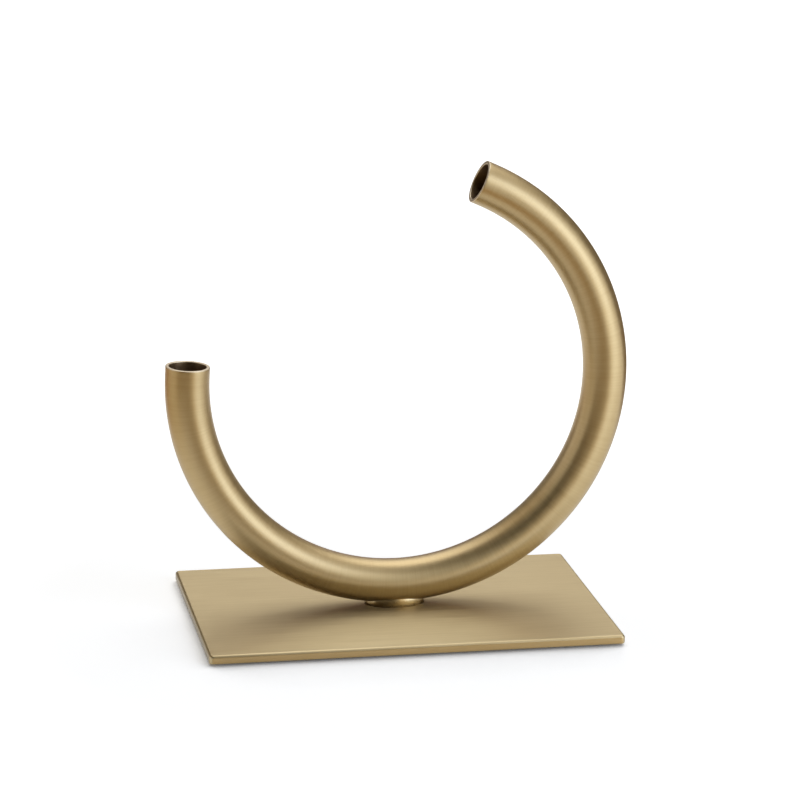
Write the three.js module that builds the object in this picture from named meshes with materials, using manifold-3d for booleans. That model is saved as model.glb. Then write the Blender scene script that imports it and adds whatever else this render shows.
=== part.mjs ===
// Brass arc vase: a tube bent into an open ring, with a mouth at each end, clamped to a flat plate.
// Units are millimetres. +Z is up and +X runs along the plate's long side. The origin is on the
// surface that the vase stands on, under the middle of the plate.

import * as THREE from 'three';
import { mergeVertices } from 'three/addons/utils/BufferGeometryUtils.js';
import Module from 'manifold-3d';

const wasm = await Module();
wasm.setup();

// Base plate
const PLATE_LENGTH = 235;
const PLATE_WIDTH = 150;
const PLATE_THICKNESS = 5;
const PLATE_CORNER_RADIUS = 2.5;
const PLATE_EDGE_EASE = 0.6;

// Felt pads under the plate, one near each corner
const PAD_DIAMETER = 16;
const PAD_THICKNESS = 1;
const PAD_EDGE_DISTANCE = 16;

// Bent tube: the radius is to its centre line, the bends are angles from its lowest point, and
// each end goes straight on to its mouth
const TUBE_DIAMETER = 25;
const TUBE_WALL = 2;
const TUBE_RIM_ROUND = 0.4;
const BEND_RADIUS = 120;
const LEFT_BEND_DEGREES = 92.3;
const RIGHT_BEND_DEGREES = 155.7;
const END_STRAIGHT = 6;

// Oval saddle boss between the plate and the tube, and the height of the tube over the plate
const BOSS_LENGTH = 35;
const BOSS_WIDTH = 20;
const BOSS_HEIGHT = 4.5;
const TUBE_STANDOFF = 1;

// M5 stud on the tube, with a washer and a thin nut in a counterbore under the plate
const STUD_DIAMETER = 5;
const WASHER_DIAMETER = 10;
const WASHER_THICKNESS = 1;
const NUT_ACROSS_FLATS = 8;
const NUT_HEIGHT = 2.7;
const NUT_BELOW_PLATE = 0.5;
const NUT_CHAMFER = 0.4;
const WRENCH_ROOM = 2.5;

// Clearances: round a stud in a hole, round a stud in its thread, and a brazed joint
const HOLE_CLEARANCE = 0.25;
const THREAD_CLEARANCE = 0.15;
const BRAZE_GAP = 0.3;

// Fineness of the facets
const TUBE_SIDES = 32;
const TUBE_STEPS = 52;
const RIM_STEPS = 2;
const EDGE_STEPS = 2;
const ROUND_SIDES = 32;
const CORNER_STEPS = 5;
const OVAL_STEPS = 24;
const HEXAGON_SIDES = 6;

// Heights and radii that follow from the sizes above
const PLATE_BOTTOM = PAD_THICKNESS;
const PLATE_TOP = PLATE_BOTTOM + PLATE_THICKNESS;
const TUBE_RADIUS = TUBE_DIAMETER / 2;
const BORE_RADIUS = TUBE_RADIUS - TUBE_WALL;
const TUBE_BOTTOM = PLATE_TOP + TUBE_STANDOFF;
const BEND_CENTRE_HEIGHT = TUBE_BOTTOM + TUBE_RADIUS + BEND_RADIUS;
const LEFT_BEND_LENGTH = THREE.MathUtils.degToRad(LEFT_BEND_DEGREES) * BEND_RADIUS;
const RIGHT_BEND_LENGTH = THREE.MathUtils.degToRad(RIGHT_BEND_DEGREES) * BEND_RADIUS;
const LEFT_ARM_LENGTH = LEFT_BEND_LENGTH + END_STRAIGHT;
const RIGHT_ARM_LENGTH = RIGHT_BEND_LENGTH + END_STRAIGHT;
const STUD_RADIUS = STUD_DIAMETER / 2;
const STUD_HOLE_RADIUS = STUD_RADIUS + HOLE_CLEARANCE;
const NUT_CORNER_RADIUS = NUT_ACROSS_FLATS / Math.sqrt(3);
const NUT_BOTTOM = PLATE_BOTTOM - NUT_BELOW_PLATE;
const NUT_TOP = NUT_BOTTOM + NUT_HEIGHT;
const WASHER_TOP = NUT_TOP + WASHER_THICKNESS;
const COUNTERBORE_RADIUS = Math.max(WASHER_DIAMETER / 2, NUT_CORNER_RADIUS) + WRENCH_ROOM;

// A cut runs this far past the face that it opens
const CUT_OVERRUN = 1;

// Corners closer than this are one corner
const MERGE_DISTANCE = 1e-4;

const satinBrass = () => new THREE.MeshStandardMaterial({
  color: 0xc4a871,
  roughness: 0.38,
  metalness: 1,
});

const platedSteel = () => new THREE.MeshStandardMaterial({
  color: 0xb9b6ae,
  roughness: 0.42,
  metalness: 1,
});

const darkFelt = () => new THREE.MeshStandardMaterial({
  color: 0x4a443c,
  roughness: 0.95,
  metalness: 0,
});

const vase = new THREE.Group();

function addPiece(name, geometry, material) {
  const mesh = new THREE.Mesh(geometry, material);
  mesh.name = name;
  vase.add(mesh);
  return mesh;
}

// A closed geometry as a solid that can be cut and joined
function toSolid(geometry) {
  const bare = geometry.clone();
  bare.deleteAttribute('normal');
  bare.deleteAttribute('uv');
  const merged = mergeVertices(bare, MERGE_DISTANCE);
  return new wasm.Manifold(new wasm.Mesh({
    numProp: 3,
    vertProperties: new Float32Array(merged.attributes.position.array),
    triVerts: new Uint32Array(merged.index.array),
  }));
}

function toGeometry(solid) {
  const mesh = solid.getMesh();
  const geometry = new THREE.BufferGeometry();
  geometry.setAttribute('position', new THREE.BufferAttribute(mesh.vertProperties, 3));
  geometry.setIndex(new THREE.BufferAttribute(mesh.triVerts, 1));
  geometry.computeVertexNormals();
  return geometry;
}

// An upright cylinder between two heights on the vase's middle axis
function uprightCylinder(radius, bottom, top, sides = ROUND_SIDES) {
  const geometry = new THREE.CylinderGeometry(radius, radius, top - bottom, sides);
  geometry.rotateX(Math.PI / 2);
  geometry.translate(0, 0, (bottom + top) / 2);
  return geometry;
}

// A closed profile of radius and height, turned about the vase's middle axis
function uprightLathe(points, sides = ROUND_SIDES) {
  const geometry = new THREE.LatheGeometry(points, sides);
  geometry.rotateX(Math.PI / 2);
  return geometry;
}

// Bends a straight tube that lies along Y, with Y = 0 at the lowest point of the arc. Past the
// ends of the bend the tube stays straight.
function bendTube(geometry) {
  const position = geometry.attributes.position;
  for (let i = 0; i < position.count; i += 1) {
    const along = position.getY(i);
    const bent = THREE.MathUtils.clamp(along, -LEFT_BEND_LENGTH, RIGHT_BEND_LENGTH);
    const straight = along - bent;
    const angle = bent / BEND_RADIUS - Math.PI / 2;
    const reach = BEND_RADIUS + position.getX(i);
    const x = reach * Math.cos(angle) - straight * Math.sin(angle);
    const z = reach * Math.sin(angle) + straight * Math.cos(angle);
    position.setXYZ(i, x, -position.getZ(i), BEND_CENTRE_HEIGHT + z);
  }
  return geometry;
}

// Points of a tube wall from the left mouth to the right one, with the steps inside the bend
function wallPoints(radius, low, high) {
  const points = [new THREE.Vector2(radius, low)];
  for (let step = 0; step <= TUBE_STEPS; step += 1) {
    const along = THREE.MathUtils.lerp(-LEFT_BEND_LENGTH, RIGHT_BEND_LENGTH, step / TUBE_STEPS);
    points.push(new THREE.Vector2(radius, along));
  }
  points.push(new THREE.Vector2(radius, high));
  return points;
}

// A quarter round between two walls of the profile, turning left from the first angle
function rimRound(radius, along, size, startAngle) {
  const points = [];
  for (let step = 1; step < RIM_STEPS; step += 1) {
    const angle = startAngle + (Math.PI / 2) * (step / RIM_STEPS);
    points.push(new THREE.Vector2(radius + size * Math.cos(angle), along + size * Math.sin(angle)));
  }
  return points;
}

// The wall's section runs up the outside, over one rim, down the bore and over the other rim
function tubeProfile() {
  const round = Math.min(TUBE_RIM_ROUND, TUBE_WALL / 2);
  const low = round - LEFT_ARM_LENGTH;
  const high = RIGHT_ARM_LENGTH - round;
  const outerEdge = TUBE_RADIUS - round;
  const boreEdge = BORE_RADIUS + round;
  const profile = [
    ...wallPoints(TUBE_RADIUS, low, high),
    ...rimRound(outerEdge, high, round, 0),
    new THREE.Vector2(outerEdge, RIGHT_ARM_LENGTH),
    new THREE.Vector2(boreEdge, RIGHT_ARM_LENGTH),
    ...rimRound(boreEdge, high, round, Math.PI / 2),
    ...wallPoints(BORE_RADIUS, low, high).reverse(),
    ...rimRound(boreEdge, low, round, Math.PI),
    new THREE.Vector2(boreEdge, -LEFT_ARM_LENGTH),
    new THREE.Vector2(outerEdge, -LEFT_ARM_LENGTH),
    ...rimRound(outerEdge, low, round, Math.PI * 1.5),
  ];
  profile.push(profile[0].clone());
  return profile;
}

function arcTube() {
  return bendTube(new THREE.LatheGeometry(tubeProfile(), TUBE_SIDES));
}

// The tube's outside, swollen by the brazed joint, which cuts the seats of the pieces under it
function tubeSeatCutter() {
  const radius = TUBE_RADIUS + BRAZE_GAP;
  const profile = [
    new THREE.Vector2(0, -LEFT_ARM_LENGTH),
    ...wallPoints(radius, -LEFT_ARM_LENGTH, RIGHT_ARM_LENGTH),
    new THREE.Vector2(0, RIGHT_ARM_LENGTH),
  ];
  return toSolid(bendTube(new THREE.LatheGeometry(profile, TUBE_SIDES)));
}

function roundedRectangle(length, width, radius) {
  const x = length / 2;
  const y = width / 2;
  const shape = new THREE.Shape();
  shape.moveTo(x, radius - y);
  shape.absarc(x - radius, y - radius, radius, 0, Math.PI / 2);
  shape.absarc(radius - x, y - radius, radius, Math.PI / 2, Math.PI);
  shape.absarc(radius - x, radius - y, radius, Math.PI, Math.PI * 1.5);
  shape.absarc(x - radius, radius - y, radius, Math.PI * 1.5, Math.PI * 2);
  return shape;
}

function basePlate() {
  const ease = Math.min(PLATE_EDGE_EASE, PLATE_THICKNESS / 3);
  const outline = roundedRectangle(PLATE_LENGTH, PLATE_WIDTH, PLATE_CORNER_RADIUS);
  const slab = new THREE.ExtrudeGeometry(outline, {
    depth: PLATE_THICKNESS - 2 * ease,
    bevelThickness: ease,
    bevelSize: ease,
    bevelOffset: -ease,
    bevelSegments: EDGE_STEPS,
    curveSegments: CORNER_STEPS,
  });
  slab.translate(0, 0, PLATE_BOTTOM + ease);
  const studHole = uprightCylinder(STUD_HOLE_RADIUS, PLATE_BOTTOM, PLATE_TOP + CUT_OVERRUN);
  const counterbore = uprightCylinder(COUNTERBORE_RADIUS, PLATE_BOTTOM - CUT_OVERRUN, WASHER_TOP);
  return toGeometry(toSolid(slab).subtract(toSolid(studHole)).subtract(toSolid(counterbore)));
}

function saddleBoss(seatCutter) {
  const oval = new THREE.Shape();
  oval.absellipse(0, 0, BOSS_LENGTH / 2, BOSS_WIDTH / 2, 0, Math.PI * 2);
  const block = new THREE.ExtrudeGeometry(oval, {
    depth: BOSS_HEIGHT,
    bevelEnabled: false,
    curveSegments: OVAL_STEPS,
  });
  block.translate(0, 0, PLATE_TOP);
  const hole = uprightCylinder(STUD_HOLE_RADIUS, PLATE_TOP - CUT_OVERRUN, BEND_CENTRE_HEIGHT);
  return toGeometry(toSolid(block).subtract(seatCutter).subtract(toSolid(hole)));
}

// The stud is coped to the tube's underside and ends flush with the nut
function stud(seatCutter) {
  const rod = uprightCylinder(STUD_RADIUS, NUT_BOTTOM, TUBE_BOTTOM + TUBE_RADIUS);
  return toGeometry(toSolid(rod).subtract(seatCutter));
}

function washer() {
  const outer = WASHER_DIAMETER / 2;
  return uprightLathe([
    new THREE.Vector2(STUD_HOLE_RADIUS, NUT_TOP),
    new THREE.Vector2(outer, NUT_TOP),
    new THREE.Vector2(outer, WASHER_TOP),
    new THREE.Vector2(STUD_HOLE_RADIUS, WASHER_TOP),
    new THREE.Vector2(STUD_HOLE_RADIUS, NUT_TOP),
  ]);
}

// A hexagon whose corners are turned down on both faces, with a bore for the stud's thread
function thinNut() {
  const hexagon = uprightCylinder(NUT_CORNER_RADIUS, NUT_BOTTOM, NUT_TOP, HEXAGON_SIDES);
  const faceRadius = NUT_ACROSS_FLATS / 2;
  const turned = uprightLathe([
    new THREE.Vector2(0, NUT_BOTTOM),
    new THREE.Vector2(faceRadius, NUT_BOTTOM),
    new THREE.Vector2(NUT_CORNER_RADIUS, NUT_BOTTOM + NUT_CHAMFER),
    new THREE.Vector2(NUT_CORNER_RADIUS, NUT_TOP - NUT_CHAMFER),
    new THREE.Vector2(faceRadius, NUT_TOP),
    new THREE.Vector2(0, NUT_TOP),
  ]);
  const threadRadius = STUD_RADIUS + THREAD_CLEARANCE;
  const bore = uprightCylinder(threadRadius, NUT_BOTTOM - CUT_OVERRUN, NUT_TOP + CUT_OVERRUN);
  return toGeometry(toSolid(hexagon).intersect(toSolid(turned)).subtract(toSolid(bore)));
}

function feltPad() {
  return uprightCylinder(PAD_DIAMETER / 2, 0, PAD_THICKNESS);
}

const seatCutter = tubeSeatCutter();
addPiece('arc_tube', arcTube(), satinBrass());
addPiece('saddle_boss', saddleBoss(seatCutter), satinBrass());
addPiece('base_plate', basePlate(), satinBrass());
addPiece('stud', stud(seatCutter), satinBrass());
addPiece('washer', washer(), platedSteel());
addPiece('nut', thinNut(), platedSteel());

const padX = PLATE_LENGTH / 2 - PAD_EDGE_DISTANCE;
const padY = PLATE_WIDTH / 2 - PAD_EDGE_DISTANCE;
for (const [row, y] of [['front', -padY], ['back', padY]]) {
  for (const [side, x] of [['left', -padX], ['right', padX]]) {
    const pad = addPiece(`pad_${row}_${side}`, feltPad(), darkFelt());
    pad.position.set(x, y, 0);
  }
}

export default vase;
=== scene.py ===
"""Looks of the brass arc vase: fine meshes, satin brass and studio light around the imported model.

Everything is in metres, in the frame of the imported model: +Z up, the vase's front towards -Y.
"""
import math

import bmesh
import bpy
from mathutils import Matrix, Vector


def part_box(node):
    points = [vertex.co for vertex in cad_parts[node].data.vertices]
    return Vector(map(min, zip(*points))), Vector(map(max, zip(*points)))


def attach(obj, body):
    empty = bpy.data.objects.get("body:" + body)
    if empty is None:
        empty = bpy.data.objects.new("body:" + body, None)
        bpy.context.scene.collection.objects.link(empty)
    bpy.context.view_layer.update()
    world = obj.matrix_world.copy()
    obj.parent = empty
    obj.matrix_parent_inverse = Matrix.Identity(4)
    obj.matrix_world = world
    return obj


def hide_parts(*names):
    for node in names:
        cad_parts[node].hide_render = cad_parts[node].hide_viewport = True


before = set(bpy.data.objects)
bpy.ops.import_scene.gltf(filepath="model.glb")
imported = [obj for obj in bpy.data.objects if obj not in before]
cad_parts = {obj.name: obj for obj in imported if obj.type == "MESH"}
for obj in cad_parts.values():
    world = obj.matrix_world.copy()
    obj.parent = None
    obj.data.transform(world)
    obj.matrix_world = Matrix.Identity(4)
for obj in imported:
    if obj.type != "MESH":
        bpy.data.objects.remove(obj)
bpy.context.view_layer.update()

MM = 0.001
BODY = "root"

# Bent tube: the radius is to its centre line, the bends are angles from its lowest point, and each
# end goes straight on to its mouth
TUBE_RADIUS = 12.5 * MM
TUBE_WALL = 2.0 * MM
BEND_RADIUS = 120 * MM
LEFT_BEND = math.radians(92.3) * BEND_RADIUS
RIGHT_BEND = math.radians(155.7) * BEND_RADIUS
END_STRAIGHT = 6 * MM
RIM_ROUND = 0.4 * MM

# Plate: its edges, the limits of a face's normal that tell sides and flat faces apart, and the hole and
# counterbore under the tube
PLATE_CORNER_RADIUS = 2.5 * MM
PLATE_TOP_EASE = 1.7 * MM
PLATE_FOOT_EASE = 0.6 * MM
PLATE_SIDE_COSINE = 0.95
PLATE_FLAT_COSINE = 0.5
STUD_HOLE_RADIUS = 2.75 * MM
COUNTERBORE_RADIUS = 7.5 * MM
COUNTERBORE_CHAMFER = 0.3 * MM

# Oval boss with leaning walls, a groove for the tube and a braze fillet along the groove. The bulge is a
# share of the edge's ease and the seat a share of the fillet.
BOSS_EDGE_EASE = 0.3 * MM
BOSS_EDGE_BULGE = 0.3
BOSS_DRAFT = 0.9 * MM
BRAZE_FILLET = 0.6 * MM
FILLET_SEAT = 0.45
FILLET_STEPS = 4
GROOVE_SEARCH_STEP = 0.002

# Thread of the stud and of the nut, and the nut's flats
THREAD_PITCH = 0.8 * MM
THREAD_DEPTH = 0.4 * MM
THREAD_CLEARANCE = 0.15 * MM
NUT_FLAT_RADIUS = 4 * MM
NUT_FACE_RADIUS = NUT_FLAT_RADIUS * 0.97
NUT_CHAMFER_SLOPE = math.tan(math.radians(30))

# Felt pads: the edge's ease and bulge, the share of the radius left to the end faces, and depth and waves
# of the fraying
PAD_EASE = 0.25 * MM
PAD_BULGE = 0.2
PAD_MIDDLE = 0.5
FRAY_DEPTH = 0.006
FRAY_WAVES = (7.3, 3.1)

# Brass: the hairlines' noise and depth, what they do to the gloss, and the lacquer over them
HAIRLINE_DETAIL = 5.0
HAIRLINE_ROUGHNESS = 0.65
HAIRLINE_BUMP = 0.16
HAIRLINE_DEPTH = 0.03 * MM
ROUGHNESS_SPREAD = 0.04
BRUSH_ANISOTROPY = 0.6
TURNED_ROTATION = 0.25
LACQUER = 0.5
LACQUER_ROUGHNESS = 0.35
EDGE_TINT = (0.8, 0.78, 0.74)

# Camera, fitted to the photograph's frame of 790 x 786 pixels
IMAGE_WIDTH = 790
FOCAL_PIXELS = 3155.6
SENSOR_WIDTH = 36
CAMERA_AZIMUTH = math.radians(-11.3)
CAMERA_ELEVATION = math.radians(15.24)
CAMERA_ROLL = math.radians(1.0)
CAMERA_DISTANCE = 1.7826
CAMERA_TARGET = Vector((-1.84, 0, 130.69)) * MM
CAMERA_REACH = 50

# Studio: distances of lamps and cards, the world's light on the vase and as background
LAMP_DISTANCE = 2.2
WALL_DISTANCE = 2.7
TABLE_CARD_HEIGHT = 2 * MM
WORLD_LIGHT = 0.1
WORLD_WHITE = 1.0

# Floor: its colour, the glow that makes it white, which rises to its full strength between two distances
# from the vase, and the shade round the plate, which is what the vase takes off light from behind
FLOOR_HALF_SIZE = 12
FLOOR_COLOR = (0.885, 0.855, 0.79)
FLOOR_ROUGHNESS = 0.9
FLOOR_GLOW = 0.65
FLOOR_FADE = (0.2, 0.6)
FLOOR_SHADE_REACH = 0.11
FLOOR_SHADE_LEAN = math.radians(68)
FLOOR_SHADE_TURN = math.radians(15)
FLOOR_SHADE_POWER = 5

plate_low, plate_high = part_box("base_plate")
tube_low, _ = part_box("arc_tube")
boss_low, boss_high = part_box("saddle_boss")
stud_low, stud_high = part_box("stud")
washer_low, washer_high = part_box("washer")
nut_low, nut_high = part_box("nut")
BEND_CENTRE_HEIGHT = tube_low.z + TUBE_RADIUS + BEND_RADIUS


# Mesh helpers

def link_object(name, mesh):
    """A new object with this mesh in the scene."""
    piece = bpy.data.objects.new(name, mesh)
    bpy.context.scene.collection.objects.link(piece)
    return piece


def loop_faces(bm, rings, closed, smooth=True, slots=None):
    """Joins neighbouring rings of vertices with quads; slots gives each strip's material index."""
    strips = []
    count = len(rings) if closed else len(rings) - 1
    for i in range(count):
        ring, after = rings[i], rings[(i + 1) % len(rings)]
        strip = []
        for j in range(len(ring)):
            k = (j + 1) % len(ring)
            face = bm.faces.new((ring[j], ring[k], after[k], after[j]))
            face.smooth = smooth
            face.material_index = slots[i] if slots else 0
            strip.append(face)
        strips.append(strip)
    return strips


def finish_mesh(name, bm):
    """Turns the faces outwards and makes a mesh of them."""
    bmesh.ops.recalc_face_normals(bm, faces=bm.faces)
    mesh = bpy.data.meshes.new(name)
    bm.to_mesh(mesh)
    bm.free()
    return mesh


def add_piece(name, mesh, materials, node):
    """Adds a visible piece that rides on the body and replaces a node of the solids."""
    piece = link_object(name, mesh)
    for material in materials:
        mesh.materials.append(material)
    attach(piece, BODY)
    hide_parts(node)
    return piece


def circle(radius, height, steps):
    """Points round the vertical axis."""
    angles = [2 * math.pi / steps * i for i in range(steps)]
    return [Vector((radius * math.cos(angle), radius * math.sin(angle), height)) for angle in angles]


# Bent tube

def bend_point(radius, along, around):
    """A point at a radius from the bent centre line, a place along it and an angle round it."""
    bent = min(max(along, -LEFT_BEND), RIGHT_BEND)
    straight = along - bent
    angle = bent / BEND_RADIUS - math.pi / 2
    reach = BEND_RADIUS + radius * math.cos(around)
    return Vector((
        reach * math.cos(angle) - straight * math.sin(angle),
        radius * math.sin(around),
        BEND_CENTRE_HEIGHT + reach * math.sin(angle) + straight * math.cos(angle),
    ))


def quarter(radius, along, start, steps):
    """A quarter round of the rim in radius and place along the tube, without its first point."""
    points = []
    for i in range(1, steps + 1):
        angle = start + math.pi / 2 * i / steps
        points.append((radius + RIM_ROUND * math.cos(angle), along + RIM_ROUND * math.sin(angle)))
    return points


def tube_section(wall_steps, rim_steps):
    """The wall's section, up the outside, over one rim, down the bore and over the other rim.

    Returns the points and, for the strip after each point, the material index."""
    low, high = -LEFT_BEND - END_STRAIGHT + RIM_ROUND, RIGHT_BEND + END_STRAIGHT - RIM_ROUND
    bore = TUBE_RADIUS - TUBE_WALL
    outer_centre, bore_centre = TUBE_RADIUS - RIM_ROUND, bore + RIM_ROUND
    places = [low + (high - low) * i / wall_steps for i in range(wall_steps + 1)]
    points = [(TUBE_RADIUS, place) for place in places]
    points += quarter(outer_centre, high, 0, rim_steps)
    points += [(bore_centre, high + RIM_ROUND)]
    points += quarter(bore_centre, high, math.pi / 2, rim_steps)
    points += [(bore, place) for place in reversed(places[:-1])]
    points += quarter(bore_centre, low, math.pi, rim_steps)
    points += [(outer_centre, low - RIM_ROUND)]
    points += quarter(outer_centre, low, math.pi * 1.5, rim_steps)[:-1]
    rim = 2 * rim_steps + 1
    slots = [0] * wall_steps + [1] * rim + [2] * wall_steps + [1] * rim
    return points, slots


def tube_mesh():
    """The tube, with a UV map in metres along and round it and its unbent points as an attribute."""
    sides, wall_steps, rim_steps = 112, 320, 5
    section, slots = tube_section(wall_steps, rim_steps)
    bm = bmesh.new()
    uv = bm.loops.layers.uv.new("brush")
    turn = 2 * math.pi / sides
    rings = []
    for radius, along in section:
        rings.append([bm.verts.new(bend_point(radius, along, turn * j)) for j in range(sides)])
    strips = loop_faces(bm, rings, closed=True, slots=slots)
    for i, strip in enumerate(strips):
        here, there = section[i][1], section[(i + 1) % len(section)][1]
        for j, face in enumerate(strip):
            low, high = turn * j * TUBE_RADIUS, turn * (j + 1) * TUBE_RADIUS
            corners = ((here, low), (here, high), (there, high), (there, low))
            for loop, corner in zip(face.loops, corners):
                loop[uv].uv = corner
    mesh = finish_mesh("arc_tube_fine", bm)
    grain = mesh.attributes.new("grain", "FLOAT_VECTOR", "POINT")
    for i, (radius, along) in enumerate(section):
        for j in range(sides):
            around = turn * j
            place = (along, radius * math.cos(around), radius * math.sin(around))
            grain.data[i * sides + j].vector = place
    return mesh


# Base plate

def plate_outline(inset, height, corner_steps):
    """The plate's outline at one height, drawn in by inset, with round corners."""
    radius = PLATE_CORNER_RADIUS - inset
    middles = (
        (plate_high.x, plate_high.y, 1, 1),
        (plate_low.x, plate_high.y, -1, 1),
        (plate_low.x, plate_low.y, -1, -1),
        (plate_high.x, plate_low.y, 1, -1),
    )
    points = []
    for quarter_turn, (x, y, side_x, side_y) in enumerate(middles):
        centre_x = x - side_x * PLATE_CORNER_RADIUS
        centre_y = y - side_y * PLATE_CORNER_RADIUS
        for i in range(corner_steps + 1):
            angle = math.pi / 2 * (quarter_turn + i / corner_steps)
            points.append(Vector((
                centre_x + radius * math.cos(angle),
                centre_y + radius * math.sin(angle),
                height,
            )))
    return points


def plate_slot(normal):
    """Material index of a plate face: 1 on the flat ends, 2 on the long sides (both painted shade), else
    0.
    """
    if abs(normal.x) > PLATE_SIDE_COSINE:
        return 1
    if abs(normal.y) > PLATE_SIDE_COSINE:
        return 2
    return 0


def plate_mesh():
    """The plate, with a UV map whose first axis runs across the brush lines."""
    corner_steps, edge_steps, hole_steps = 8, 6, 64
    bm = bmesh.new()
    uv = bm.loops.layers.uv.new("brush")
    foot, top = [], []
    for i in range(edge_steps + 1):
        out, rise = math.sin(math.pi / 2 * i / edge_steps), math.cos(math.pi / 2 * i / edge_steps)
        foot.append((PLATE_FOOT_EASE * (1 - out), plate_low.z + PLATE_FOOT_EASE * (1 - rise)))
        top.append((PLATE_TOP_EASE * (1 - out), plate_high.z - PLATE_TOP_EASE * (1 - rise)))
    levels = foot + top[::-1]
    rings = []
    for inset, height in levels:
        rings.append([bm.verts.new(point) for point in plate_outline(inset, height, corner_steps)])
    loop_faces(bm, rings, closed=False)
    hole_levels = (
        (COUNTERBORE_RADIUS + COUNTERBORE_CHAMFER, plate_low.z),
        (COUNTERBORE_RADIUS, plate_low.z + COUNTERBORE_CHAMFER),
        (COUNTERBORE_RADIUS, washer_high.z),
        (STUD_HOLE_RADIUS, washer_high.z),
        (STUD_HOLE_RADIUS, plate_high.z),
    )
    hole = []
    for radius, height in hole_levels:
        hole.append([bm.verts.new(point) for point in circle(radius, height, hole_steps)])
    loop_faces(bm, hole, closed=False)
    for outline, opening in ((rings[0], hole[0]), (rings[-1], hole[-1])):
        edges = []
        for ring in (outline, opening):
            edges += [bm.edges.get((ring[i], ring[(i + 1) % len(ring)])) for i in range(len(ring))]
        bmesh.ops.triangle_fill(bm, use_beauty=True, edges=edges)
    for face in bm.faces:
        face.smooth = True
        face.normal_update()
        flat = abs(face.normal.z) > PLATE_FLAT_COSINE
        face.material_index = plate_slot(face.normal)
        for loop in face.loops:
            x, y, z = loop.vert.co
            loop[uv].uv = (y, x) if flat else (z, x + y)
    return finish_mesh("base_plate_fine", bm)


# Saddle boss

def tube_underside(x, y):
    """Height of the tube's underside over a point of the plate."""
    reach = BEND_RADIUS + math.sqrt(TUBE_RADIUS ** 2 - y ** 2)
    return BEND_CENTRE_HEIGHT - math.sqrt(reach ** 2 - x ** 2)


def boss_section(angle, groove_steps):
    """One radial cut of the boss, from the plate up the wall, over the fillet and down the hole."""
    edge = Vector((boss_high.x * math.cos(angle), boss_high.y * math.sin(angle)))
    reach = edge.length
    hole = STUD_HOLE_RADIUS / reach
    top = min(boss_high.z, tube_underside(edge.x, edge.y))
    groove = 1.0
    while groove > hole and tube_underside(edge.x * groove, edge.y * groove) > boss_high.z:
        groove -= GROOVE_SEARCH_STEP
    ease = BOSS_EDGE_EASE / reach
    brow = 1 - BOSS_DRAFT / reach
    foot = min(groove + BRAZE_FILLET / reach, brow - ease)
    foot = max(foot, groove)
    points = [(1.0, boss_low.z), (brow, top - BOSS_EDGE_EASE)]
    points.append((brow - ease * BOSS_EDGE_BULGE, top - BOSS_EDGE_EASE * BOSS_EDGE_BULGE))
    points.append((brow - ease, top))
    lift = min(groove + BRAZE_FILLET / reach * FILLET_SEAT, foot)
    seat = tube_underside(edge.x * lift, edge.y * lift)
    for i in range(FILLET_STEPS + 1):
        share = i / FILLET_STEPS
        place = foot + (lift - foot) * share
        points.append((place, top + max(seat - top, 0) * share ** 2))
    for i in range(1, groove_steps + 1):
        place = lift + (hole - lift) * i / groove_steps
        points.append((place, tube_underside(edge.x * place, edge.y * place)))
    points.append((hole, boss_low.z))
    return [Vector((edge.x * place, edge.y * place, height)) for place, height in points]


def boss_mesh():
    sides, groove_steps = 144, 8
    bm = bmesh.new()
    cuts = [boss_section(2 * math.pi * i / sides, groove_steps) for i in range(sides)]
    rings = [[bm.verts.new(cut[k]) for cut in cuts] for k in range(len(cuts[0]))]
    loop_faces(bm, rings, closed=True)
    return finish_mesh("saddle_boss_fine", bm)


# Fixings under the plate

def thread_radius(base, height, angle, inward):
    """Radius of a thread that is cut into base, or that stands out from it."""
    turn = (height / THREAD_PITCH - angle / (2 * math.pi)) % 1
    ridge = 1 - abs(2 * turn - 1)
    return base - THREAD_DEPTH * (1 - ridge) if inward else base + THREAD_DEPTH * ridge


def stud_mesh():
    sides, rows = 48, 80
    radius = (stud_high.x - stud_low.x) / 2
    bm = bmesh.new()
    rings = []
    for i in range(rows + 1):
        height = stud_low.z + (stud_high.z - stud_low.z) * i / rows
        ring = []
        for j in range(sides):
            angle = 2 * math.pi * j / sides
            start = radius - THREAD_DEPTH * max(0, 1 - (height - stud_low.z) / THREAD_DEPTH)
            reach = min(thread_radius(radius, height, angle, True), start)
            x, y = reach * math.cos(angle), reach * math.sin(angle)
            ring.append(bm.verts.new((x, y, min(height, tube_underside(x, y)))))
        rings.append(ring)
    loop_faces(bm, rings, closed=False)
    bm.faces.new(reversed(rings[0])).smooth = False
    bm.faces.new(rings[-1]).smooth = False
    return finish_mesh("stud_fine", bm)


def washer_mesh():
    steps, ease = 72, 0.12 * MM
    outer, inner = washer_high.x, STUD_HOLE_RADIUS
    low, high = washer_low.z, washer_high.z
    section = (
        (outer - ease, low), (outer, low + ease), (outer, high - ease), (outer - ease, high),
        (inner + ease, high), (inner, high - ease), (inner, low + ease), (inner + ease, low),
    )
    bm = bmesh.new()
    rings = [[bm.verts.new(p) for p in circle(radius, height, steps)] for radius, height in section]
    loop_faces(bm, rings, closed=True, smooth=False)
    return finish_mesh("washer_fine", bm)


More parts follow.
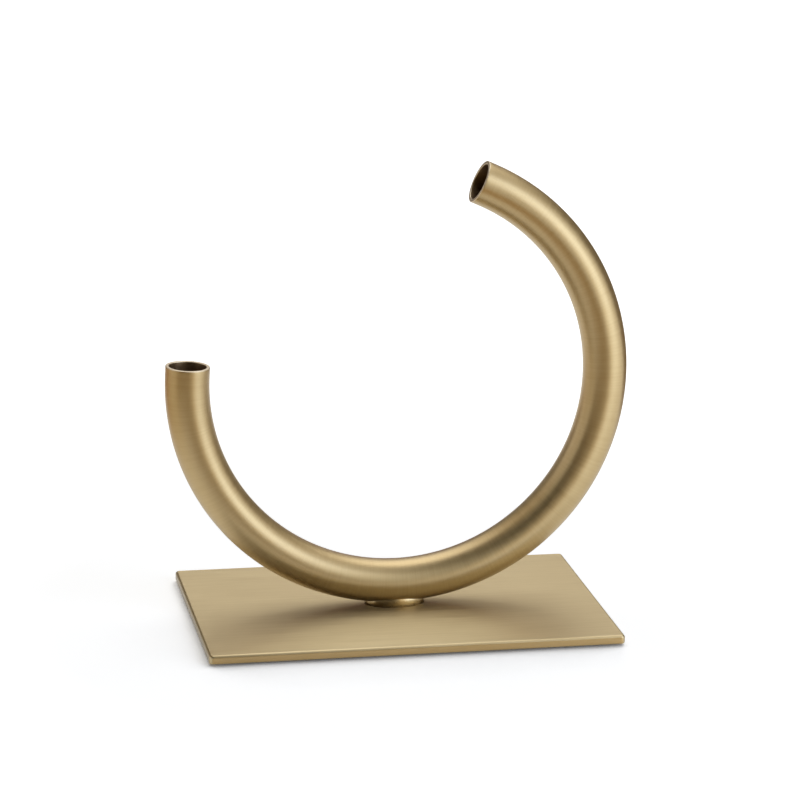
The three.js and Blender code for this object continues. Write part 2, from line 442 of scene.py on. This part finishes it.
def nut_mesh():
    sides, rows = 96, 24
    low, high = nut_low.z, nut_high.z
    sixth = math.pi / 3
    bore = (stud_high.x - stud_low.x) / 2 + THREAD_CLEARANCE
    bm = bmesh.new()
    columns = []
    for j in range(sides):
        angle = 2 * math.pi * j / sides
        corner = NUT_FLAT_RADIUS / math.cos((angle + sixth / 2) % sixth - sixth / 2)
        drop = (corner - NUT_FLAT_RADIUS) * NUT_CHAMFER_SLOPE
        column = [(bore + THREAD_DEPTH, low), (NUT_FACE_RADIUS, low), (corner, low + drop)]
        column += [(corner, high - drop), (NUT_FACE_RADIUS, high), (bore + THREAD_DEPTH, high)]
        for i in range(rows + 1):
            height = high - THREAD_DEPTH - (high - low - 2 * THREAD_DEPTH) * i / rows
            column.append((thread_radius(bore - THREAD_DEPTH, height, angle, False), height))
        columns.append([Vector((r * math.cos(angle), r * math.sin(angle), z)) for r, z in column])
    rings = [[bm.verts.new(column[k]) for column in columns] for k in range(len(columns[0]))]
    loop_faces(bm, rings, closed=True, smooth=False)
    return finish_mesh("nut_fine", bm)


def pad_mesh(node):
    low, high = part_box(node)
    middle = (low + high) / 2
    radius, steps = (high.x - low.x) / 2, 72
    inner, bulge = radius * PAD_MIDDLE, radius - PAD_EASE * PAD_BULGE
    bm = bmesh.new()
    section = ((inner, low.z), (radius - PAD_EASE, low.z), (bulge, low.z + PAD_EASE))
    section += ((radius, middle.z), (bulge, high.z), (inner, high.z))
    rings = []
    for reach, height in section:
        ring = []
        for i, point in enumerate(circle(1, 0, steps)):
            fray = 1 - FRAY_DEPTH * (1 + math.sin(i * FRAY_WAVES[0]) * math.cos(i * FRAY_WAVES[1]))
            x, y = middle.x + point.x * reach * fray, middle.y + point.y * reach * fray
            ring.append(bm.verts.new((x, y, height)))
        rings.append(ring)
    loop_faces(bm, rings, closed=False)
    bm.faces.new(reversed(rings[0]))
    bm.faces.new(rings[-1])
    return finish_mesh(node + "_fine", bm)


# Materials

class Nodes:
    """A material's node tree, with short ways to add and join nodes."""

    def __init__(self, name):
        self.material = bpy.data.materials.new(name)
        self.material.use_nodes = True
        self.tree = self.material.node_tree
        self.shader = self.tree.nodes["Principled BSDF"]

    def add(self, kind, **settings):
        node = self.tree.nodes.new("ShaderNode" + kind)
        for key, value in settings.items():
            setattr(node, key, value)
        return node

    def join(self, source, target):
        self.tree.links.new(source, target)

    def noise(self, vector, scale, detail=3.0, roughness=0.6):
        node = self.add("TexNoise")
        node.inputs["Scale"].default_value = scale
        node.inputs["Detail"].default_value = detail
        node.inputs["Roughness"].default_value = roughness
        self.join(vector, node.inputs["Vector"])
        return node.outputs["Fac"]

    def stretch(self, vector, scale):
        node = self.add("Mapping")
        node.inputs["Scale"].default_value = scale
        self.join(vector, node.inputs["Vector"])
        return node.outputs["Vector"]

    def remap(self, value, low, high, start=0.3, end=0.7):
        node = self.add("MapRange")
        for key, number in (("From Min", start), ("From Max", end), ("To Min", low), ("To Max", high)):
            node.inputs[key].default_value = number
        self.join(value, node.inputs["Value"])
        return node.outputs["Result"]

    def ramp(self, value, low, high, start=0.35, end=0.65):
        node = self.add("ValToRGB")
        node.color_ramp.elements[0].position = start
        node.color_ramp.elements[0].color = (*low, 1)
        node.color_ramp.elements[1].position = end
        node.color_ramp.elements[1].color = (*high, 1)
        self.join(value, node.inputs["Fac"])
        return node.outputs["Color"]

    def times(self, value, other):
        node = self.add("Math", operation="MULTIPLY")
        self.join(value, node.inputs[0])
        self.join(other, node.inputs[1])
        return node.outputs[0]

    def bump(self, height, strength, distance):
        node = self.add("Bump")
        node.inputs["Strength"].default_value = strength
        node.inputs["Distance"].default_value = distance
        self.join(height, node.inputs["Height"])
        self.join(node.outputs["Normal"], self.shader.inputs["Normal"])


def brass(name, tones, grain_scale, roughness, brush=None, attribute=None, lacquer=LACQUER):
    """Satin brass with hairlines in two tones; grain_scale is their count per metre along each axis.

    brush names the UV map whose first axis runs across the hairlines, or is "turned" for hairlines
    round the vertical axis. attribute names the points that the hairlines follow, if not the object's."""
    nodes = Nodes(name)
    if attribute:
        vector = nodes.add("Attribute", attribute_name=attribute).outputs["Vector"]
    else:
        vector = nodes.add("TexCoord").outputs["Object"]
    grain = nodes.stretch(vector, grain_scale)
    hairlines = nodes.noise(grain, scale=1.0, detail=HAIRLINE_DETAIL, roughness=HAIRLINE_ROUGHNESS)
    nodes.join(nodes.ramp(hairlines, *tones), nodes.shader.inputs["Base Color"])
    gloss = nodes.remap(hairlines, roughness - ROUGHNESS_SPREAD, roughness + ROUGHNESS_SPREAD)
    nodes.join(gloss, nodes.shader.inputs["Roughness"])
    nodes.bump(hairlines, HAIRLINE_BUMP, HAIRLINE_DEPTH)
    nodes.shader.inputs["Metallic"].default_value = 1.0
    nodes.shader.inputs["Specular Tint"].default_value = (*EDGE_TINT, 1)
    nodes.shader.inputs["Coat Weight"].default_value = lacquer
    nodes.shader.inputs["Coat Roughness"].default_value = LACQUER_ROUGHNESS
    if brush == "turned":
        tangent = nodes.add("Tangent", direction_type="RADIAL", axis="Z")
        nodes.shader.inputs["Anisotropic Rotation"].default_value = TURNED_ROTATION
    elif brush:
        tangent = nodes.add("Tangent", direction_type="UV_MAP", uv_map=brush)
    if brush:
        nodes.shader.inputs["Anisotropic"].default_value = BRUSH_ANISOTROPY
        nodes.join(tangent.outputs["Tangent"], nodes.shader.inputs["Tangent"])
    return nodes.material


def zinc_steel():
    nodes = Nodes("zinc_steel")
    vector = nodes.add("TexCoord").outputs["Object"]
    spangle = nodes.noise(vector, scale=900.0)
    tones = nodes.ramp(spangle, low=(0.46, 0.455, 0.43), high=(0.6, 0.595, 0.57))
    nodes.join(tones, nodes.shader.inputs["Base Color"])
    nodes.join(nodes.remap(spangle, low=0.3, high=0.45), nodes.shader.inputs["Roughness"])
    nodes.bump(spangle, strength=0.15, distance=0.03 * MM)
    nodes.shader.inputs["Metallic"].default_value = 1.0
    return nodes.material


def felt():
    nodes = Nodes("felt")
    vector = nodes.add("TexCoord").outputs["Object"]
    fibre = nodes.noise(vector, scale=2600.0, detail=6.0, roughness=0.75)
    tones = nodes.ramp(fibre, low=(0.035, 0.03, 0.026), high=(0.1, 0.09, 0.08))
    nodes.join(tones, nodes.shader.inputs["Base Color"])
    nodes.join(nodes.remap(fibre, low=0.85, high=1.0), nodes.shader.inputs["Roughness"])
    nodes.bump(fibre, strength=0.6, distance=0.15 * MM)
    nodes.shader.inputs["Sheen Weight"].default_value = 0.3
    return nodes.material


tube_brass = brass(
    "satin_tube", ((0.475, 0.35, 0.167), (0.52, 0.391, 0.194)),
    grain_scale=(900, 30, 30), roughness=0.44, brush="brush", attribute="grain", lacquer=0.6,
)
# Rims: brass much paler than the tube's, a painted highlight for the bright ring round each mouth
rim_highlight_brass = brass(
    "rim_painted_highlight", ((0.66, 0.56, 0.39), (0.74, 0.64, 0.47)),
    grain_scale=(900, 900, 900), roughness=0.45,
)
# Bore: a darker brass than the tube's outside, without lacquer
dark_bore_brass = brass(
    "dark_dull_bore", ((0.22, 0.145, 0.075), (0.31, 0.21, 0.12)),
    grain_scale=(200, 900, 900), roughness=0.5, lacquer=0,
)
plate_brass = brass(
    "satin_plate", ((0.485, 0.385, 0.215), (0.545, 0.442, 0.257)),
    grain_scale=(20, 500, 500), roughness=0.44, brush="brush", lacquer=0.15,
)
# Long sides: a darker, more saturated copy of the plate's brass, painted shade; their hairlines run along
# them
plate_side_shaded_brass = brass(
    "satin_plate_side_painted_shade", ((0.46, 0.313, 0.128), (0.52, 0.365, 0.163)),
    grain_scale=(20, 500, 500), roughness=0.44, brush="brush",
)
# Flat ends: much darker brass than the top, painted shade for the shadowed floor that the ends mirror
plate_end_shaded_brass = brass(
    "satin_plate_end_painted_shade", ((0.3, 0.24, 0.15), (0.36, 0.29, 0.19)),
    grain_scale=(500, 20, 500), roughness=0.4,
)
boss_brass = brass(
    "turned_boss", ((0.47, 0.355, 0.18), (0.53, 0.41, 0.22)),
    grain_scale=(300, 300, 1500), roughness=0.3, brush="turned",
)
steel = zinc_steel()
pad_felt = felt()

plate_brasses = (plate_brass, plate_end_shaded_brass, plate_side_shaded_brass)
add_piece("tube", tube_mesh(), (tube_brass, rim_highlight_brass, dark_bore_brass), "arc_tube")
plate = add_piece("plate", plate_mesh(), plate_brasses, "base_plate")
plate.modifiers.new("flat faces stay flat", "WEIGHTED_NORMAL").keep_sharp = True
add_piece("boss", boss_mesh(), (boss_brass,), "saddle_boss")
add_piece("threaded_stud", stud_mesh(), (boss_brass,), "stud")
add_piece("plain_washer", washer_mesh(), (steel,), "washer")
add_piece("thin_nut", nut_mesh(), (steel,), "nut")
for row in ("front", "back"):
    for side in ("left", "right"):
        node = f"pad_{row}_{side}"
        add_piece(f"felt_{row}_{side}", pad_mesh(node), (pad_felt,), node)


# Studio: camera, floor, world, softboxes and the cards that the metal mirrors

def direction(azimuth, elevation):
    """Unit vector from the vase; azimuth 0 is the front, -Y, and grows towards +X."""
    level = math.cos(elevation)
    return Vector((math.sin(azimuth) * level, -math.cos(azimuth) * level, math.sin(elevation)))


def facing_matrix(back, place, roll=0.0):
    """Axes of a camera or lamp that looks against back."""
    right = Vector((0, 0, 1)).cross(back).normalized()
    up = back.cross(right)
    right, up = (
        right * math.cos(roll) + up * math.sin(roll),
        up * math.cos(roll) - right * math.sin(roll),
    )
    matrix = Matrix((right, up, back)).transposed().to_4x4()
    matrix.translation = place
    return matrix


def make_camera():
    data = bpy.data.cameras.new("camera")
    data.sensor_width = SENSOR_WIDTH
    data.lens = FOCAL_PIXELS / IMAGE_WIDTH * SENSOR_WIDTH
    data.clip_end = CAMERA_REACH
    camera = bpy.data.objects.new("camera", data)
    bpy.context.scene.collection.objects.link(camera)
    back = direction(CAMERA_AZIMUTH, CAMERA_ELEVATION)
    camera.matrix_world = facing_matrix(back, CAMERA_TARGET + back * CAMERA_DISTANCE, CAMERA_ROLL)
    bpy.context.scene.camera = camera


def seen_rays(tree):
    """1 for camera, glossy and transmission rays, which see the white background, else 0."""
    path = tree.nodes.new("ShaderNodeLightPath")
    value = path.outputs["Is Camera Ray"]
    for name in ("Is Glossy Ray", "Is Transmission Ray"):
        either = tree.nodes.new("ShaderNodeMath")
        either.operation = "MAXIMUM"
        tree.links.new(value, either.inputs[0])
        tree.links.new(path.outputs[name], either.inputs[1])
        value = either.outputs[0]
    return value


def floor_material():
    """Pale floor that takes the vase's shadow and turns into the white background away from it."""
    nodes = Nodes("floor_white")
    nodes.shader.inputs["Base Color"].default_value = (*FLOOR_COLOR, 1)
    nodes.shader.inputs["Roughness"].default_value = FLOOR_ROUGHNESS
    nodes.shader.inputs["Specular IOR Level"].default_value = 0.0
    nodes.shader.inputs["Emission Color"].default_value = (1, 1, 1, 1)
    distance = nodes.add("VectorMath", operation="LENGTH")
    nodes.join(nodes.add("TexCoord").outputs["Object"], distance.inputs[0])
    near, away = FLOOR_FADE
    far = nodes.remap(distance.outputs["Value"], low=FLOOR_GLOW, high=1.0, start=near, end=away)
    leaning = nodes.add("CombineXYZ")
    leaning.inputs["X"].default_value = math.sin(FLOOR_SHADE_LEAN) * math.sin(FLOOR_SHADE_TURN)
    leaning.inputs["Y"].default_value = math.sin(FLOOR_SHADE_LEAN) * math.cos(FLOOR_SHADE_TURN)
    leaning.inputs["Z"].default_value = math.cos(FLOOR_SHADE_LEAN)
    open_sky = nodes.add("AmbientOcclusion", samples=4)
    open_sky.inputs["Distance"].default_value = FLOOR_SHADE_REACH
    nodes.join(leaning.outputs["Vector"], open_sky.inputs["Normal"])
    clear_share = (1 + math.cos(FLOOR_SHADE_LEAN)) / 2
    shade = nodes.remap(open_sky.outputs["AO"], low=0.0, high=1.0, start=0.0, end=clear_share)
    deep_shade = nodes.add("Math", operation="POWER")
    deep_shade.inputs[1].default_value = FLOOR_SHADE_POWER
    nodes.join(shade, deep_shade.inputs[0])
    glow = nodes.times(nodes.times(far, deep_shade.outputs[0]), seen_rays(nodes.tree))
    nodes.join(glow, nodes.shader.inputs["Emission Strength"])
    return nodes.material


def make_floor():
    mesh = bpy.data.meshes.new("floor")
    size = FLOOR_HALF_SIZE
    corners = [(-size, -size, 0), (size, -size, 0), (size, size, 0), (-size, size, 0)]
    mesh.from_pydata(corners, [], [(0, 1, 2, 3)])
    mesh.materials.append(floor_material())
    link_object("floor", mesh)


def make_world():
    world = bpy.data.worlds.new("studio")
    bpy.context.scene.world = world
    world.use_nodes = True
    tree = world.node_tree
    background = tree.nodes["Background"]
    background.inputs["Color"].default_value = (1, 1, 1, 1)
    level = tree.nodes.new("ShaderNodeMapRange")
    level.inputs["To Min"].default_value = WORLD_LIGHT
    level.inputs["To Max"].default_value = WORLD_WHITE
    tree.links.new(seen_rays(tree), level.inputs["Value"])
    tree.links.new(level.outputs["Result"], background.inputs["Strength"])


def softbox(name, azimuth, elevation, width, height, radiance, color):
    """A rectangular lamp at LAMP_DISTANCE that faces the vase."""
    data = bpy.data.lights.new(name, "AREA")
    data.shape = "RECTANGLE"
    data.size = width
    data.size_y = height
    data.energy = radiance * math.pi * width * height
    data.color = color
    lamp = bpy.data.objects.new(name, data)
    bpy.context.scene.collection.objects.link(lamp)
    lamp.visible_camera = False
    back = direction(math.radians(azimuth), math.radians(elevation))
    lamp.matrix_world = facing_matrix(back, CAMERA_TARGET + back * LAMP_DISTANCE)


def add_flag(name, verts, faces, color):
    """A glowing card of the room round the set, seen only in reflections."""
    mesh = bpy.data.meshes.new(name)
    mesh.from_pydata(verts, [], faces)
    material = bpy.data.materials.new(name)
    material.use_nodes = True
    shader = material.node_tree.nodes["Principled BSDF"]
    shader.inputs["Base Color"].default_value = (0, 0, 0, 1)
    shader.inputs["Specular IOR Level"].default_value = 0.0
    shader.inputs["Emission Color"].default_value = (*color, 1)
    shader.inputs["Emission Strength"].default_value = 1.0
    mesh.materials.append(material)
    flag = link_object(name, mesh)
    flag.visible_camera = False
    flag.visible_diffuse = False
    flag.visible_shadow = False


def studio_wall(name, azimuths, elevations, color):
    """A curved wall at WALL_DISTANCE between two azimuths and two elevations in degrees."""
    columns, rows = 24, 12
    verts = []
    for i in range(columns + 1):
        azimuth = math.radians(azimuths[0] + (azimuths[1] - azimuths[0]) * i / columns)
        for j in range(rows + 1):
            elevation = math.radians(elevations[0] + (elevations[1] - elevations[0]) * j / rows)
            verts.append(CAMERA_TARGET + direction(azimuth, elevation) * WALL_DISTANCE)
    faces = []
    for i in range(columns):
        for j in range(rows):
            k = i * (rows + 1) + j
            faces.append((k, k + 1, k + rows + 2, k + rows + 1))
    add_flag(name, verts, faces, color)


def table_card(name, low, high, color):
    """A card that lies on the floor between two corners in metres."""
    corners = ((low[0], low[1]), (high[0], low[1]), (high[0], high[1]), (low[0], high[1]))
    add_flag(name, [(x, y, TABLE_CARD_HEIGHT) for x, y in corners], [(0, 1, 2, 3)], color)


make_camera()
make_floor()
make_world()
softbox("key", azimuth=44, elevation=20, width=1.4, height=1.7, radiance=1.98, color=(0.82, 1.0, 1.36))
softbox("top", azimuth=170, elevation=66, width=2.2, height=1.9, radiance=1.31, color=(0.97, 1.0, 1.06))
studio_wall("card_front", azimuths=(-60, 15), elevations=(-2, 88), color=(0.01, 0.01, 0.005))
studio_wall("card_front_edge", azimuths=(15, 27), elevations=(-2, 50), color=(1.25, 0.95, 0.38))
studio_wall("card_left_high", azimuths=(-165, -60), elevations=(31, 62), color=(0.18, 0.1, 0.01))
studio_wall("card_left_back", azimuths=(-180, -120), elevations=(-2, 31), color=(0.22, 0.2, 0.19))
studio_wall("card_right_back", azimuths=(90, 150), elevations=(-2, 42), color=(0.16, 0.125, 0.08))
studio_wall("card_back", azimuths=(150, 180), elevations=(-2, 20), color=(0.29, 0.2, 0.22))
table_card("card_table_front", low=(-2.6, -2.6), high=(0.25, -0.28), color=(0.44, 0.25, 0.03))
table_card("card_table_left", low=(-2.6, -0.28), high=(-0.3, 0.2), color=(0.66, 0.53, 0.33))
table_card("card_table_back_left", low=(-2.6, 0.2), high=(-0.35, 2.0), color=(0.55, 0.3, 0.12))
table_card("card_table_back_right", low=(0.35, 0.1), high=(2.6, 2.0), color=(0.35, 0.27, 0.17))

bpy.context.scene.view_settings.view_transform = "Standard"
